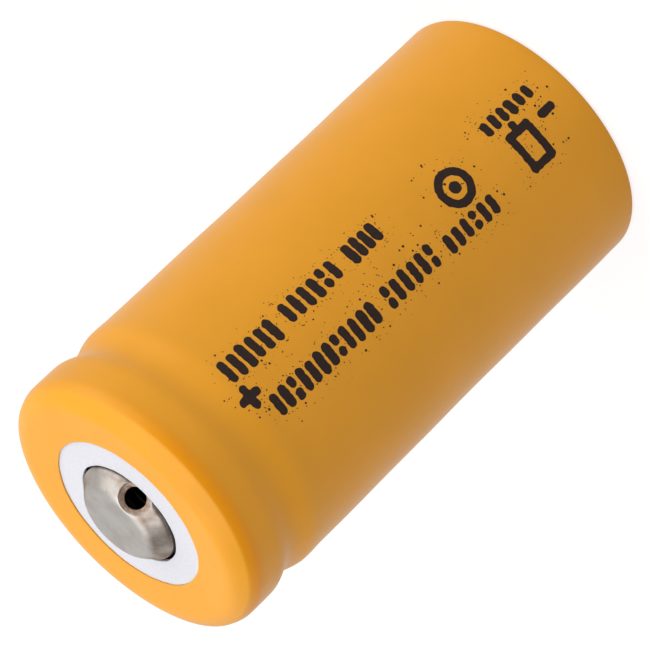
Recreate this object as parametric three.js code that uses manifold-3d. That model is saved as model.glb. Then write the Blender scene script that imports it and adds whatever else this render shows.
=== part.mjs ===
// A 16340-size cylindrical lithium-ion cell, in millimetres.
// +Z is the cell's axis and points to the positive terminal. The origin is the centre of the flat
// negative end. The cell is a crimped steel can that holds a wound roll of electrodes, closed by a
// gasketed cap assembly and covered by a heat-shrunk sleeve.
import * as THREE from "three";
import { mergeVertices } from "three/addons/utils/BufferGeometryUtils.js";
import Module from "manifold-3d";

const wasm = await Module();
wasm.setup();

// ---------------------------------------------------------------- driving dimensions
const SIDES = 32; // sides of every turned piece; the same for all, so that thin gaps stay open
const GAP = 0.03; // clearance between pieces that touch

const SLEEVE_R = 8.2;
const SLEEVE_WALL = 0.14;
const SLEEVE_FACE_Z = 33.32; // outer face of the fold at the positive end
const SLEEVE_FOOT_Z = 0.06; // outer face of the fold at the negative end
const SLEEVE_TOP_HOLE_R = 4.87;
const SLEEVE_BOTTOM_HOLE_R = 6.1;
const SLEEVE_SHOULDER_R = 1.2;
const SLEEVE_FOOT_R = 0.4;
const BULGE = 0.07; // how far the sleeve over the crimped rim stands out past the body

const BEAD_Z = 29.15; // middle of the can's bead groove
const BEAD_WIDTH = 2.7;
const BEAD_DEPTH = 1.05;
const SLEEVE_DIP_WIDTH = 3.0; // the sleeve bridges the bead, so its groove is wide and shallow
const SLEEVE_DIP_DEPTH = 0.32;

const CAN_R = 8.03;
const CAN_WALL = 0.25;
const CAN_LIP_TOP_Z = 32.92;
const CAN_LIP_R = 6.2; // inner edge of the crimped rim
const CAN_SHOULDER_R = 0.85;
const CAN_STEP_Z = 0.24; // the bottom's rim stands this far above its flat contact face
const CAN_FOOT_R = 0.4;
const CONTACT_R = 5.6; // radius of the flat negative contact face

const RING_HOLE_R = 3.27;
const RING_R = 6.9;
const RING_TOP_Z = 33.15;
const RING_THICK = 0.2;

const CAP_TOP_Z = 34.2;
const CAP_SHEET = 0.35;
const CAP_FLANGE_R = 7.2;
const CAP_FLANGE_TOP_Z = 32.1;
const CAP_TOP_R = 2.0; // flat part of the button's top
const CAP_SHOULDER_R = 0.5;
const CAP_SLOPE = THREE.MathUtils.degToRad(44); // of the button's side, from the vertical
const CAP_WALL_R = 3.2; // upright part of the button's wall, below the slope
const CAP_FOOT_R = 0.3;
const VENT_R = 0.95; // the one vent hole in the button's side
const VENT_Z = 33.56; // where its axis meets the button's outer side
const VENT_AZIMUTH = THREE.MathUtils.degToRad(-83);

const STACK_R = 7.2; // rim radius of everything that the gasket holds
const PTC_Z = [31.3, 31.66];
const PTC_HOLE_R = 4.4;
const VENT_DISC_RIM_Z = 31.26;
const VENT_DISC_SHEET = 0.32;
const CID_RING_Z = [30.0, 30.86];
const CID_PLATE_Z = [29.6, 29.94];
const CID_PLATE_R = 5.1;
const CID_HOLES = 6;
const CID_HOLE_R = 0.55;
const CID_HOLE_CIRCLE_R = 3.0;

const GASKET_WALL = 0.42;
const GASKET_Z = [30.1, 32.59];
const GASKET_HOLE_R = 5.6;
const GASKET_LIP_R = 6.0; // inner edge of the lip folded over the cap's flange
const GASKET_BEVEL = 0.5;

const UPPER_DISC_Z = [27.6, 27.8];
const LOWER_DISC_Z = [0.8, 1.0];
const DISC_R = 7.3;

// The wound roll. Layers lie on one spiral, in this order outwards from the core.
const STEPS = 20; // corners in one turn; a layer starts and ends on a corner
const CORE_R = 1.55;
const SEPARATOR = 0.07;
const COATING = 0.18;
const FOIL = 0.06;
const LAYER_GAP = 0.015;
const TAB = 0.12;
const TAPE = 0.04;

// ---------------------------------------------------------------- shape helpers
const vec2 = (x, y) => new THREE.Vector2(x, y);

// Points on an arc in the profile plane, both ends included. Angles are in degrees.
function arc(centreR, centreZ, radius, from, to, count = 5) {
  return Array.from({ length: count }, (_, i) => {
    const a = THREE.MathUtils.degToRad(from + ((to - from) * i) / (count - 1));
    return vec2(centreR + radius * Math.cos(a), centreZ + radius * Math.sin(a));
  });
}

// Points on a smooth groove in a cylinder's side, from its lower edge to its upper edge.
function groove(radius, middleZ, width, depth, count = 8) {
  return Array.from({ length: count }, (_, i) => {
    const t = i / (count - 1) - 0.5;
    return vec2(radius - (depth / 2) * (1 + Math.cos(2 * Math.PI * t)), middleZ + width * t);
  });
}

// A line moved sideways by `distance`, to its left, with mitred corners.
function offset(line, distance) {
  const normal = (a, b) => vec2(a.y - b.y, b.x - a.x).normalize();
  return line.map((p, i) => {
    const before = i > 0 ? normal(line[i - 1], p) : normal(p, line[1]);
    const after = i < line.length - 1 ? normal(p, line[i + 1]) : before;
    const mitre = before.clone().add(after).divideScalar(1 + before.dot(after));
    return p.clone().addScaledVector(mitre, distance);
  });
}

// A sheet of even thickness whose outer face is `line`, as a closed outline.
function sheet(line, thickness) {
  return [...line, ...offset(line, thickness).reverse()];
}

// Turns an outline of (radius, height) points about +Z. The outline either touches the axis with
// its first and last points, or is a ring's section, which is closed here.
function turned(outline, sides = SIDES) {
  const onAxis = Math.abs(outline[0].x) < 1e-9;
  const line = onAxis ? [...outline] : [...outline, outline[0].clone()];
  if (THREE.ShapeUtils.area(outline) < 0) line.reverse();
  return new THREE.LatheGeometry(line, sides).rotateX(Math.PI / 2);
}

// A rectangular ring's section.
function ringSection(innerR, outerR, lowZ, highZ) {
  return [vec2(innerR, lowZ), vec2(outerR, lowZ), vec2(outerR, highZ), vec2(innerR, highZ)];
}

// An outline in the XY plane, raised from lowZ to highZ.
function raised(outline, lowZ, highZ) {
  const depth = highZ - lowZ;
  const shape = new THREE.Shape(outline);
  return new THREE.ExtrudeGeometry(shape, { depth, bevelEnabled: false }).translate(0, 0, lowZ);
}

// A strip of even thickness that follows a line of (x, z) points and is `width` wide along Y.
function strip(line, thickness, width) {
  const outline = sheet(offset(line, -thickness / 2), thickness);
  return raised(outline, -width / 2, width / 2).rotateX(Math.PI / 2);
}

function solid(geometry) {
  const plain = geometry.index ? geometry.toNonIndexed() : geometry.clone();
  plain.deleteAttribute("normal");
  plain.deleteAttribute("uv");
  const merged = mergeVertices(plain, 1e-4);
  return new wasm.Manifold(
    new wasm.Mesh({
      numProp: 3,
      vertProperties: merged.attributes.position.array,
      triVerts: new Uint32Array(merged.index.array),
    }),
  );
}

function geometryOf(manifold) {
  const mesh = manifold.getMesh();
  return new THREE.BufferGeometry()
    .setAttribute("position", new THREE.BufferAttribute(mesh.vertProperties, 3))
    .setIndex(new THREE.BufferAttribute(mesh.triVerts, 1));
}

const cut = (geometry, tool) => geometryOf(solid(geometry).subtract(solid(tool)));

const joined = (first, second) => geometryOf(solid(first).add(solid(second)));

const group = new THREE.Group();

function add(name, geometry, colour, roughness, metalness = 0) {
  const material = new THREE.MeshStandardMaterial({ color: colour, roughness, metalness });
  const mesh = new THREE.Mesh(geometry, material);
  mesh.name = name;
  group.add(mesh);
}

// ---------------------------------------------------------------- casing
function outerSleeve() {
  const bulgeR = SLEEVE_R + BULGE;
  const line = [
    vec2(SLEEVE_BOTTOM_HOLE_R, SLEEVE_FOOT_Z),
    ...arc(SLEEVE_R - SLEEVE_FOOT_R, SLEEVE_FOOT_Z + SLEEVE_FOOT_R, SLEEVE_FOOT_R, -90, 0, 3),
    ...groove(SLEEVE_R, BEAD_Z, SLEEVE_DIP_WIDTH, SLEEVE_DIP_DEPTH),
    ...arc(bulgeR - SLEEVE_SHOULDER_R, SLEEVE_FACE_Z - SLEEVE_SHOULDER_R, SLEEVE_SHOULDER_R, 0, 90),
    vec2(SLEEVE_TOP_HOLE_R, SLEEVE_FACE_Z),
  ];
  return turned(sheet(line, SLEEVE_WALL));
}

function steelCan() {
  const line = [
    vec2(0, 0),
    vec2(CONTACT_R, 0),
    vec2(CONTACT_R + CAN_STEP_Z, CAN_STEP_Z),
    ...arc(CAN_R - CAN_FOOT_R, CAN_STEP_Z + CAN_FOOT_R, CAN_FOOT_R, -90, 0, 3),
    ...groove(CAN_R, BEAD_Z, BEAD_WIDTH, BEAD_DEPTH),
    ...arc(CAN_R - CAN_SHOULDER_R, CAN_LIP_TOP_Z - CAN_SHOULDER_R, CAN_SHOULDER_R, 0, 90, 4),
    vec2(CAN_LIP_R, CAN_LIP_TOP_Z),
  ];
  return turned(sheet(line, CAN_WALL));
}

function insulatorRing() {
  return turned(ringSection(RING_HOLE_R, RING_R, RING_TOP_Z - RING_THICK, RING_TOP_Z));
}

// ---------------------------------------------------------------- cap assembly
// Radius of the button's sloping outer side at a height.
const capShoulderEndR = CAP_TOP_R + CAP_SHOULDER_R * Math.cos(CAP_SLOPE);
const capShoulderEndZ = CAP_TOP_Z - CAP_SHOULDER_R * (1 - Math.sin(CAP_SLOPE));
const capSideR = (z) => capShoulderEndR + (capShoulderEndZ - z) * Math.tan(CAP_SLOPE);

// A punch through the button's side, square to it.
function ventPunch() {
  const reach = 1.2;
  return new THREE.CylinderGeometry(VENT_R, VENT_R, 2 * reach, 20)
    .rotateZ(-Math.PI / 2)
    .rotateY(-CAP_SLOPE)
    .translate(capSideR(VENT_Z), 0, VENT_Z)
    .rotateZ(VENT_AZIMUTH);
}

function topCap() {
  const shoulderStart = THREE.MathUtils.radToDeg(CAP_SLOPE);
  const wallTopZ = capShoulderEndZ - (CAP_WALL_R - capShoulderEndR) / Math.tan(CAP_SLOPE);
  const line = [
    vec2(CAP_FLANGE_R, CAP_FLANGE_TOP_Z),
    ...arc(CAP_WALL_R + CAP_FOOT_R, CAP_FLANGE_TOP_Z + CAP_FOOT_R, CAP_FOOT_R, 270, 180, 3),
    vec2(CAP_WALL_R, wallTopZ),
    ...arc(CAP_TOP_R, CAP_TOP_Z - CAP_SHOULDER_R, CAP_SHOULDER_R, shoulderStart, 90, 4),
    vec2(0, CAP_TOP_Z),
  ].reverse();
  const under = offset(line, -CAP_SHEET);
  under[0].x = 0;
  const hat = turned([...line, ...under.reverse()]);
  return cut(hat, ventPunch());
}

function ptcRing() {
  return turned(ringSection(PTC_HOLE_R, STACK_R, ...PTC_Z));
}

// Upper face from the rim inwards: a flat rim, a stepped-down web with a score ring, and a
// nipple that reaches down to the plate below.
function ventDisc() {
  const webZ = VENT_DISC_RIM_Z - 0.5;
  const nippleZ = VENT_DISC_RIM_Z - 0.9;
  const scoreR = 3.0;
  const top = [
    vec2(STACK_R, VENT_DISC_RIM_Z),
    vec2(4.5, VENT_DISC_RIM_Z),
    vec2(4.1, webZ),
    vec2(scoreR + 0.15, webZ),
    vec2(scoreR, webZ - 0.12),
    vec2(scoreR - 0.15, webZ),
    vec2(1.15, webZ),
    vec2(0.7, nippleZ),
    vec2(0, nippleZ),
  ];
  const plain = top.filter((p) => Math.abs(p.x - scoreR) > 0.2);
  const under = offset(plain, VENT_DISC_SHEET);
  under[under.length - 1].x = 0;
  return turned([...under, ...top.reverse()].reverse());
}

function cidInsulatorRing() {
  const [lowZ, highZ] = CID_RING_Z;
  const footTopZ = 30.38;
  return turned([
    vec2(3.9, lowZ),
    vec2(5.3, lowZ),
    vec2(5.3, highZ),
    vec2(4.66, highZ),
    vec2(4.66, footTopZ),
    vec2(3.9, footTopZ),
  ]);
}

function cidPlate() {
  const circle = (path, x, y, radius) => path.absarc(x, y, radius, 0, 2 * Math.PI);
  const disc = circle(new THREE.Shape(), 0, 0, CID_PLATE_R);
  for (let i = 0; i < CID_HOLES; i++) {
    const a = ((i + 0.5) * 2 * Math.PI) / CID_HOLES;
    const [x, y] = [CID_HOLE_CIRCLE_R * Math.cos(a), CID_HOLE_CIRCLE_R * Math.sin(a)];
    disc.holes.push(circle(new THREE.Path(), x, y, CID_HOLE_R));
  }
  const [lowZ, highZ] = CID_PLATE_Z;
  const options = { depth: highZ - lowZ, bevelEnabled: false, curveSegments: 8 };
  return new THREE.ExtrudeGeometry(disc, options).translate(0, 0, lowZ);
}

function crimpGasket() {
  const [lowZ, highZ] = GASKET_Z;
  const innerR = STACK_R + GAP;
  const outerR = innerR + GASKET_WALL;
  const lipLowZ = CAP_FLANGE_TOP_Z + GAP;
  const seatZ = VENT_DISC_RIM_Z - VENT_DISC_SHEET - GAP;
  return turned([
    vec2(GASKET_HOLE_R, lowZ),
    vec2(outerR - GASKET_BEVEL, lowZ),
    vec2(outerR, lowZ + GASKET_BEVEL),
    vec2(outerR, highZ - GASKET_BEVEL),
    vec2(outerR - GASKET_BEVEL, highZ),
    vec2(GASKET_LIP_R, highZ),
    vec2(GASKET_LIP_R, lipLowZ),
    vec2(innerR, lipLowZ),
    vec2(innerR, seatZ),
    vec2(GASKET_HOLE_R, seatZ),
  ]);
}

add("outer_sleeve", outerSleeve(), 0xe8a238, 0.5);
add("insulator_ring", insulatorRing(), 0xe9e9f0, 0.85);
add("top_cap", topCap(), 0xb5afa8, 0.35, 1);
add("steel_can", steelCan(), 0xb9bcc0, 0.3, 1);
add("crimp_gasket", crimpGasket(), 0x2f5f9e, 0.6);
add("ptc_ring", ptcRing(), 0x2b2b2d, 0.6);
add("vent_disc", ventDisc(), 0xc9ccd1, 0.35, 1);
add("cid_insulator_ring", cidInsulatorRing(), 0xe8e4d8, 0.6);
add("cid_plate", cidPlate(), 0xc9ccd1, 0.35, 1);

// ---------------------------------------------------------------- wound roll
// How far each layer's inner face lies outside the spiral of the first one.
const LAYERS = [
  ["separator_inner", SEPARATOR],
  ["anode_coating_inner", COATING],
  ["anode_foil", FOIL],
  ["anode_coating_outer", COATING],
  ["separator_outer", SEPARATOR],
  ["cathode_coating_inner", COATING],
  ["cathode_foil", FOIL],
  ["cathode_coating_outer", COATING],
];
const inset = {};
let pitch = 0; // how much the spiral grows in one turn
for (const [name, thickness] of LAYERS) {
  inset[name] = pitch;
  pitch += thickness + LAYER_GAP;
}

const stepAngle = (step) => (step * 2 * Math.PI) / STEPS;

const layerR = (layerInset, step) => CORE_R + layerInset + (pitch * step) / STEPS;

// A wound band: `start` and `end` count corners along the spiral.
function wound(layerInset, thickness, { start, end, z }) {
  const side = (extra) =>
    Array.from({ length: end - start + 1 }, (_, i) => {
      const step = start + i;
      const r = layerR(layerInset + extra, step);
      return vec2(r * Math.cos(stepAngle(step)), r * Math.sin(stepAngle(step)));
    });
  return raised([...side(0), ...side(thickness).reverse()], ...z);
}

// Corners where each layer starts and ends. The anode overhangs the cathode and the separators
// overhang both. Each electrode has one bare stretch, where its tab is welded to the foil.
const SEPARATOR_RUN = { start: 0, end: 97, z: [1.1, 27.0] };
const ANODE_RUN = { start: 10, end: 93, z: [1.8, 26.3] };
const CATHODE_RUN = { start: 17, end: 76, z: [2.4, 25.8] };
const POSITIVE_TAB_RUN = { start: 18, end: 21, z: [3.0, 27.4] };
const NEGATIVE_TAB_RUN = { start: 90, end: 92, z: [0.95, 25.6] };
const POSITIVE_TAPE_RUN = { start: 17, end: 21, z: [2.5, 26.9] };
const NEGATIVE_TAPE_RUN = { start: 89, end: 93, z: [1.4, 26.6] };
const WINDING_TAPE_RUN = { start: 77, end: 98, z: [4, 24] };
const FOIL_MARGIN = 0.1; // the coatings stop this far short of the foil's edges
const coated = (run) => ({ ...run, z: [run.z[0] + FOIL_MARGIN, run.z[1] - FOIL_MARGIN] });
const anodeCoat = coated(ANODE_RUN);
const cathodeCoat = coated(CATHODE_RUN);

const layer = (name, run) => wound(inset[name], Object.fromEntries(LAYERS)[name], run);

add("separator_inner", layer("separator_inner", SEPARATOR_RUN), 0xf4f4f2, 0.6);
add("separator_outer", layer("separator_outer", SEPARATOR_RUN), 0xf4f4f2, 0.6);
add("anode_foil", layer("anode_foil", ANODE_RUN), 0xb8734a, 0.35, 1);
add("anode_coating_inner", layer("anode_coating_inner", anodeCoat), 0x2c2c2e, 0.9);
add("anode_coating_outer", layer("anode_coating_outer", { ...anodeCoat, end: 89 }), 0x2c2c2e, 0.9);
add("cathode_foil", layer("cathode_foil", CATHODE_RUN), 0xcfd2d6, 0.3, 1);
add("cathode_coating_inner", layer("cathode_coating_inner", { ...cathodeCoat, start: 22 }), 0x1f1f22, 0.9);
add("cathode_coating_outer", layer("cathode_coating_outer", cathodeCoat), 0x1f1f22, 0.9);
// Once the cathode has ended, the tape takes its place as the outermost layer.
add("winding_tape", wound(inset.cathode_coating_inner, TAPE, WINDING_TAPE_RUN), 0x3f7fd0, 0.4);

// ---------------------------------------------------------------- tabs and their tapes
const POSITIVE_TAB_WIDTH = 3.0;
const NEGATIVE_TAB_WIDTH = 4.0;
const middleAzimuth = ({ start, end }) => stepAngle((start + end) / 2);
const positiveAzimuth = middleAzimuth(POSITIVE_TAB_RUN);
const negativeAzimuth = middleAzimuth(NEGATIVE_TAB_RUN);

const bend = (...points) =>
  new THREE.CubicBezierCurve(...points.map(([x, z]) => vec2(x, z))).getPoints(6);

// A tab is a band that lies against its foil in the coating's place, and a flat lead that leaves
// the roll. The lead is drawn in the XZ plane and turned to the tab's azimuth.
const positiveBand = inset.cathode_coating_inner + COATING - TAB;
const positiveLeadR = layerR(positiveBand, POSITIVE_TAB_RUN.start);

// Out through a slot in the upper disc, then in to the middle of the interrupt plate's underside.
function positiveTab() {
  const plateZ = CID_PLATE_Z[0] - GAP - TAB / 2;
  const x = positiveLeadR;
  const line = [
    vec2(x, SEPARATOR_RUN.z[1] + 2 * GAP),
    ...bend([x, 28.0], [x, 29.2], [2.7, plateZ], [1.3, plateZ]),
    vec2(-1.2, plateZ),
  ];
  const lead = strip(line, TAB, POSITIVE_TAB_WIDTH).rotateZ(positiveAzimuth);
  return joined(wound(positiveBand, TAB, POSITIVE_TAB_RUN), lead);
}

const negativeBand = inset.anode_coating_outer;
const negativeLeadR = layerR(negativeBand, NEGATIVE_TAB_RUN.start);

// Down past the lower disc's notch, then in under the disc to the middle of the can's bottom.
function negativeTab() {
  const floorZ = CAN_WALL + GAP + TAB / 2;
  const rimZ = CAN_STEP_Z + floorZ;
  const x = negativeLeadR;
  const line = [
    vec2(x, SEPARATOR_RUN.z[0] - 2 * GAP),
    ...bend([x, 0.85], [x, rimZ], [x - 0.15, rimZ], [x - 0.5, rimZ]),
    vec2(CONTACT_R - 0.2, rimZ),
    vec2(CONTACT_R - 0.2 - CAN_STEP_Z, floorZ),
    vec2(-1.5, floorZ),
  ];
  const lead = strip(line, TAB, NEGATIVE_TAB_WIDTH).rotateZ(negativeAzimuth);
  return joined(wound(negativeBand, TAB, NEGATIVE_TAB_RUN), lead);
}

const positiveTape = wound(inset.cathode_coating_inner, TAPE, POSITIVE_TAPE_RUN);
const negativeTape = wound(negativeBand + COATING - TAPE, TAPE, NEGATIVE_TAPE_RUN);

add("positive_tab", positiveTab(), 0xcfd2d6, 0.3, 1);
add("negative_tab", negativeTab(), 0xc4c0b8, 0.3, 1);
add("positive_tab_tape", positiveTape, 0xd8a048, 0.4);
add("negative_tab_tape", negativeTape, 0xd8a048, 0.4);

// ---------------------------------------------------------------- insulating discs
// A box from innerR to outerR along X, `width` wide along Y, turned to an azimuth.
function slotTool(innerR, outerR, width, [lowZ, highZ], azimuth) {
  return new THREE.BoxGeometry(outerR - innerR, width, highZ - lowZ + 1)
    .translate((innerR + outerR) / 2, 0, (lowZ + highZ) / 2)
    .rotateZ(azimuth);
}

function upperInsulatorDisc() {
  const disc = turned(ringSection(1.7, DISC_R, ...UPPER_DISC_Z));
  const [innerR, outerR] = [positiveLeadR - 0.4, positiveLeadR + 0.4];
  const slot = slotTool(innerR, outerR, POSITIVE_TAB_WIDTH + 0.4, UPPER_DISC_Z, positiveAzimuth);
  return cut(disc, slot);
}

function lowerInsulatorDisc() {
  const disc = turned(ringSection(1.2, DISC_R, ...LOWER_DISC_Z));
  const [innerR, outerR] = [negativeLeadR - 0.6, DISC_R + 1];
  const notch = slotTool(innerR, outerR, NEGATIVE_TAB_WIDTH + 0.4, LOWER_DISC_Z, negativeAzimuth);
  return cut(disc, notch);
}

add("upper_insulator_disc", upperInsulatorDisc(), 0xf0f0ea, 0.6);
add("lower_insulator_disc", lowerInsulatorDisc(), 0xf0f0ea, 0.6);

export default group;
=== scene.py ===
"""Looks of a 16340-size cylindrical battery cell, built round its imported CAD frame.

Shapes are drawn in millimetres in the part's own frame, and MM scales them when they become
meshes in metres. The cell stands on the floor, +Z is its axis and points to the positive button,
and the side with the printed marks faces -Y.
"""

import math

import bmesh
import bpy
import numpy as np
from mathutils import Matrix, Vector, noise


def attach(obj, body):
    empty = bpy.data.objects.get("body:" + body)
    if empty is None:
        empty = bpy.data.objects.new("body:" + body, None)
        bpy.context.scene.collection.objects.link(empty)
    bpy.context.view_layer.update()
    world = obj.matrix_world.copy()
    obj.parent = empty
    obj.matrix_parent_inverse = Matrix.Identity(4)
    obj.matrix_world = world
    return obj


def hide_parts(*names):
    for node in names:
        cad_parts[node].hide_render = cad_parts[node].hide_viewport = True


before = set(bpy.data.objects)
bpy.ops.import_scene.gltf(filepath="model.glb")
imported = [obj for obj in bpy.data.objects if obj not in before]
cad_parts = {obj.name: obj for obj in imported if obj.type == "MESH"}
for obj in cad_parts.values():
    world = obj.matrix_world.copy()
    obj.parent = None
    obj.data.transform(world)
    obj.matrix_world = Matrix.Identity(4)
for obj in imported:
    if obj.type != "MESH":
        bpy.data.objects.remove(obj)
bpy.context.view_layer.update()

MM = 0.001
BODY = "root"

# ---------------------------------------------------------------- sizes, in millimetres
SLEEVE_R = 8.2
SLEEVE_WALL = 0.14
SLEEVE_FACE_Z = 33.32
SLEEVE_FOOT_Z = 0.05
SLEEVE_TOP_HOLE_R = 4.87
SLEEVE_BOTTOM_HOLE_R = 6.1
SLEEVE_DOME_R = 2.6  # the face falls away slowly towards its rim,
SLEEVE_BEND_R = 0.28  # bends down quickly,
SLEEVE_SWELL_R = 1.8  # and curves slowly into the side
SLEEVE_KNEE = 63  # elevation of the surface's normal where the dome meets the bend, in degrees,
SLEEVE_SWELL = 22  # and where the bend meets the slow curve
SLEEVE_SINK = 0.33  # the rim lies this much lower at -Y
SLEEVE_EDGE = 0.035  # rounding of the cut edges of both holes
SLEEVE_LIP_DROOP = 0.05  # the face falls a little towards its hole
SLEEVE_FOOT_R = 0.28
SLEEVE_WAIST = 0.03  # the side narrows this much half way up
SLEEVE_HUMP = 0.035  # and widens this much just below the dip
SLEEVE_HUMP_Z = 27.4
SLEEVE_HUMP_WIDTH = 0.6
BULGE = 0.07  # how much wider the film is above the bead than below it
BULGE_RISE = 1.5
BEAD_Z = 29.15
BEAD_WIDTH = 2.7
BEAD_DEPTH = 1.05
SLEEVE_DIP_WIDTH = 3.0  # the film dips into the can's bead
SLEEVE_DIP_DEPTH = 0.32
SLEEVE_DIP_EASE = 0.6  # the share of that depth which is missing at -Y and +Y

CAN_R = 8.03
CAN_WALL = 0.25
CAN_LIP_TOP_Z = 32.92
CAN_LIP_R = 6.2
CAN_SHOULDER_R = 0.85
CAN_STEP_Z = 0.24
CAN_FOOT_R = 0.4
CONTACT_R = 5.6

RING_HOLE_R = 3.27
RING_R = 6.9
RING_TOP_Z = 33.17
RING_THICK = 0.2
RING_SHIFT = (-0.03, -0.07)  # the loose washer lies a little off the axis
RING_RAGGED = 0.5  # width of the washer, round its hole, that follows the hole's uneven edge

CAP_TOP_Z = 34.2
CAP_SHEET = 0.35
CAP_FLANGE_R = 7.2
CAP_FLANGE_TOP_Z = 32.1
CAP_TOP_R = 1.83
CAP_SHOULDER_R = 0.9
CAP_SLOPE = math.radians(44)
CAP_WALL_R = 3.12
CAP_BEND_R = 0.35
CAP_SHIFT = (0.0, -0.07)  # the cap is crimped a little off the axis
CAP_FOOT_R = 0.3
VENT_R = 0.95
VENT_Z = 33.56
VENT_AZIMUTH = math.radians(-83)
VENT_THROAT_R = 0.6
VENT_DEPTH = 0.34
VENT_DRIFT = (0.01, -0.09)  # how far the throat lies off the mouth: sideways, and down the slope
VENT_REACH = 1.3  # the sheet is drawn in within this distance of the vent's axis,
VENT_BACK = 1.2  # down to this depth below the mouth,
VENT_FADE = 0.25  # and less and less over this width at the edge of that reach
VENT_TORN = 0.3  # share of the way from the mouth to the throat where the torn finish starts


# ---------------------------------------------------------------- outlines
def arc(centre, radius, start, end, count):
    """Points on an arc, both ends included. Angles are in degrees."""
    a = np.radians(np.linspace(start, end, count))
    return np.column_stack([centre[0] + radius * np.cos(a), centre[1] + radius * np.sin(a)])


def line(start, end, count):
    return np.linspace(start, end, count)


def joined(*pieces, least=1e-4):
    """One line from several, without the points that repeat."""
    points = np.vstack(pieces)
    keep = [points[0]]
    for point in points[1:]:
        if np.linalg.norm(point - keep[-1]) > least:
            keep.append(point)
    return np.array(keep)


def offset(points, distance):
    """The line moved to its left by distance, with mitred corners."""
    step = np.diff(points, axis=0)
    normal = np.column_stack([-step[:, 1], step[:, 0]])
    normal /= np.linalg.norm(normal, axis=1)[:, None]
    before = np.vstack([normal[:1], normal])
    after = np.vstack([normal, normal[-1:]])
    mitre = (before + after) / (1 + np.sum(before * after, axis=1))[:, None]
    return points + distance * mitre


def smooth_step(x):
    x = np.clip(x, 0, 1)
    return x * x * (3 - 2 * x)


# ---------------------------------------------------------------- meshes
def finish_mesh(piece, smooth_angle=40):
    """Outward normals, and smooth shading with the edges over the angle kept sharp."""
    bm = bmesh.new()
    bm.from_mesh(piece.data)
    bmesh.ops.recalc_face_normals(bm, faces=bm.faces)
    for face in bm.faces:
        face.smooth = True
    for edge in bm.edges:
        edge.smooth = edge.calc_face_angle(0.0) < math.radians(smooth_angle)
    bm.to_mesh(piece.data)
    bm.free()


def new_piece(name, verts, faces, material, node=None, slot=None, smooth_angle=40):
    """A piece of the cell from millimetre vertices. It stands for a CAD node when one is named."""
    mesh = bpy.data.meshes.new(name)
    mesh.from_pydata((np.asarray(verts, float) * MM).tolist(), [], faces)
    mesh.materials.append(material)
    piece = bpy.data.objects.new(name, mesh)
    bpy.context.scene.collection.objects.link(piece)
    finish_mesh(piece, smooth_angle)
    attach(piece, BODY)
    if node:
        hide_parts(node)
    return piece


def turned(outline, steps, warp=None, closed=True):
    """Vertices and faces of an outline turned about Z. Points on the axis are one vertex."""
    verts, index = [], []
    angle = np.linspace(0, 2 * math.pi, steps, endpoint=False)
    for r, z in outline:
        if r < 1e-6:
            index.append([len(verts)] * steps)
            verts.append((0.0, 0.0, z))
            continue
        rs, zs = warp(angle, r, z) if warp else (np.full(steps, r), np.full(steps, z))
        index.append(list(range(len(verts), len(verts) + steps)))
        verts.extend(zip(rs * np.cos(angle), rs * np.sin(angle), zs))
    touches_axis = outline[0][0] < 1e-6 and outline[-1][0] < 1e-6
    rows = len(outline) - (1 if touches_axis or not closed else 0)
    faces = []
    for i in range(rows):
        low, high = index[i], index[(i + 1) % len(outline)]
        for j in range(steps):
            k = (j + 1) % steps
            corners = list(dict.fromkeys([low[j], low[k], high[k], high[j]]))
            if len(corners) > 2:
                faces.append(corners)
    return verts, faces


# ---------------------------------------------------------------- materials
def shader_of(name, roughness=0.5, metallic=0.0, ior=1.5):
    material = bpy.data.materials.new(name)
    material.use_nodes = True
    shader = material.node_tree.nodes["Principled BSDF"]
    shader.inputs["Roughness"].default_value = roughness
    shader.inputs["Metallic"].default_value = metallic
    shader.inputs["IOR"].default_value = ior
    return material, material.node_tree, shader


def pattern(tree, scale, detail=3.0, stretch=(1, 1, 1), kind="ShaderNodeTexNoise"):
    """A procedural pattern in object space, with scale in repeats for each metre."""
    coords = tree.nodes.new("ShaderNodeTexCoord")
    mapping = tree.nodes.new("ShaderNodeMapping")
    mapping.inputs["Scale"].default_value = stretch
    texture = tree.nodes.new(kind)
    texture.inputs["Scale"].default_value = scale
    if "Detail" in texture.inputs:
        texture.inputs["Detail"].default_value = detail
    tree.links.new(coords.outputs["Object"], mapping.inputs["Vector"])
    tree.links.new(mapping.outputs["Vector"], texture.inputs["Vector"])
    return texture


def ramp(tree, value, low, high, start=0.3, end=0.7):
    """A ramp between two colours or two numbers."""
    made = tree.nodes.new("ShaderNodeValToRGB")
    for element, position, colour in zip(made.color_ramp.elements, (start, end), (low, high)):
        element.position = position
        element.color = (colour,) * 3 + (1,) if isinstance(colour, float) else (*colour, 1)
    tree.links.new(value, made.inputs["Fac"])
    return made.outputs["Color"]


def bump(tree, height, distance, below=None):
    """A bump of a real height in metres, on top of another one."""
    made = tree.nodes.new("ShaderNodeBump")
    made.inputs["Distance"].default_value = distance
    tree.links.new(height, made.inputs["Height"])
    if below:
        tree.links.new(below, made.inputs["Normal"])
    return made.outputs["Normal"]


def specks(tree, scale, size, share):
    """Round dots in some of the cells of a grid: 1 on a dot. The size is a share of a cell."""
    cells = pattern(tree, scale, kind="ShaderNodeTexVoronoi")
    dot = ramp(tree, cells.outputs["Distance"], 1.0, 0.0, size * 0.6, size)
    split = tree.nodes.new("ShaderNodeSeparateColor")
    tree.links.new(cells.outputs["Color"], split.inputs["Color"])
    chosen = ramp(tree, split.outputs["Red"], 1.0, 0.0, share, share + 0.01)
    both = tree.nodes.new("ShaderNodeMath")
    both.operation = "MULTIPLY"
    tree.links.new(dot, both.inputs[0])
    tree.links.new(chosen, both.inputs[1])
    return both.outputs["Value"]


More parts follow.
